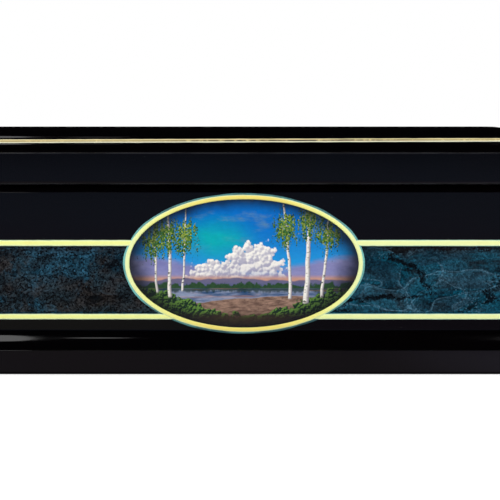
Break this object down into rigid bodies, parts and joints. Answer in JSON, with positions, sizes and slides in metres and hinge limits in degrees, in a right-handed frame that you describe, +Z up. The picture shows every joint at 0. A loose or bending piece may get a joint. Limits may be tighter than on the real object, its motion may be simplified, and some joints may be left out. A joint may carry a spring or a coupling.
{
  "type": "lacquer casket",
  "caption": "Black lacquer keepsake casket with a cove-moulded plinth, marbled band with gilt strips, an oval painted plaque and a stepped lid that swings up on back hinges.",
  "frame": {"origin": "middle of the underside, on the surface that the casket stands on", "axes": "+X along the casket's length, +Z up, the front faces -Y and the lid is hinged along the back"},
  "size_m": [0.198, 0.128, 0.0804],
  "materials": {
    "black_lacquer": "polished black lacquer",
    "floor_board": "satin black stain",
    "red_lacquer": "satin red lacquer",
    "marbled_paint": "blue marbling under gloss lacquer",
    "gilt_paint": "pale gold paint",
    "gilt_leaf": "worn gold leaf",
    "teal_paint": "teal outline paint",
    "painted_miniature": "painted landscape under gloss lacquer",
    "hinge_brass": "drawn brass",
    "hinge_pin_steel": "drawn steel",
    "screw_brass": "turned brass"
  },
  "bodies": {
    "casket": {"base_moulding_front": "black_lacquer", "base_moulding_right": "black_lacquer", "base_moulding_back": "black_lacquer", "base_moulding_left": "black_lacquer", "front_wall": "black_lacquer", "right_wall": "black_lacquer", "back_wall": "black_lacquer", "left_wall": "black_lacquer", "floor_panel": "floor_board", "lining_front": "red_lacquer", "lining_right": "red_lacquer", "lining_back": "red_lacquer", "lining_left": "red_lacquer", "floor_lining": "red_lacquer", "marble_band_front_left": "marbled_paint", "marble_band_front_right": "marbled_paint", "marble_band_right": "marbled_paint", "marble_band_back": "marbled_paint", "marble_band_left": "marbled_paint", "lower_gilt_strip_front_left": "gilt_paint", "lower_gilt_strip_front_right": "gilt_paint", "lower_gilt_strip_right": "gilt_paint", "lower_gilt_strip_back": "gilt_paint", "lower_gilt_strip_left": "gilt_paint", "upper_gilt_strip_front_left": "gilt_paint", "upper_gilt_strip_front_right": "gilt_paint", "upper_gilt_strip_right": "gilt_paint", "upper_gilt_strip_back": "gilt_paint", "upper_gilt_strip_left": "gilt_paint", "oval_edging": "teal_paint", "oval_gilt_ring": "gilt_paint", "oval_miniature": "painted_miniature", "left_hinge_body_leaf": "hinge_brass", "left_hinge_pin": "hinge_pin_steel", "right_hinge_body_leaf": "hinge_brass", "right_hinge_pin": "hinge_pin_steel", "body_leaf_screws": "screw_brass"},
    "lid": {"lid_frame_front": "black_lacquer", "lid_frame_right": "black_lacquer", "lid_frame_back": "black_lacquer", "lid_frame_left": "black_lacquer", "lid_top_board": "black_lacquer", "lid_lining": "red_lacquer", "lid_gilt_line_front": "gilt_leaf", "lid_gilt_line_right": "gilt_leaf", "lid_gilt_line_back": "gilt_leaf", "lid_gilt_line_left": "gilt_leaf", "left_hinge_lid_leaf": "hinge_brass", "right_hinge_lid_leaf": "hinge_brass", "lid_leaf_screws": "screw_brass"}
  },
  "joints": [
    {"name": "lid_hinge", "type": "hinge", "parent": "casket", "child": "lid", "pos_m": [0, 0.05574, 0.06115], "axis": [-1, 0, 0], "range_deg": [0, 98]}
  ]
}
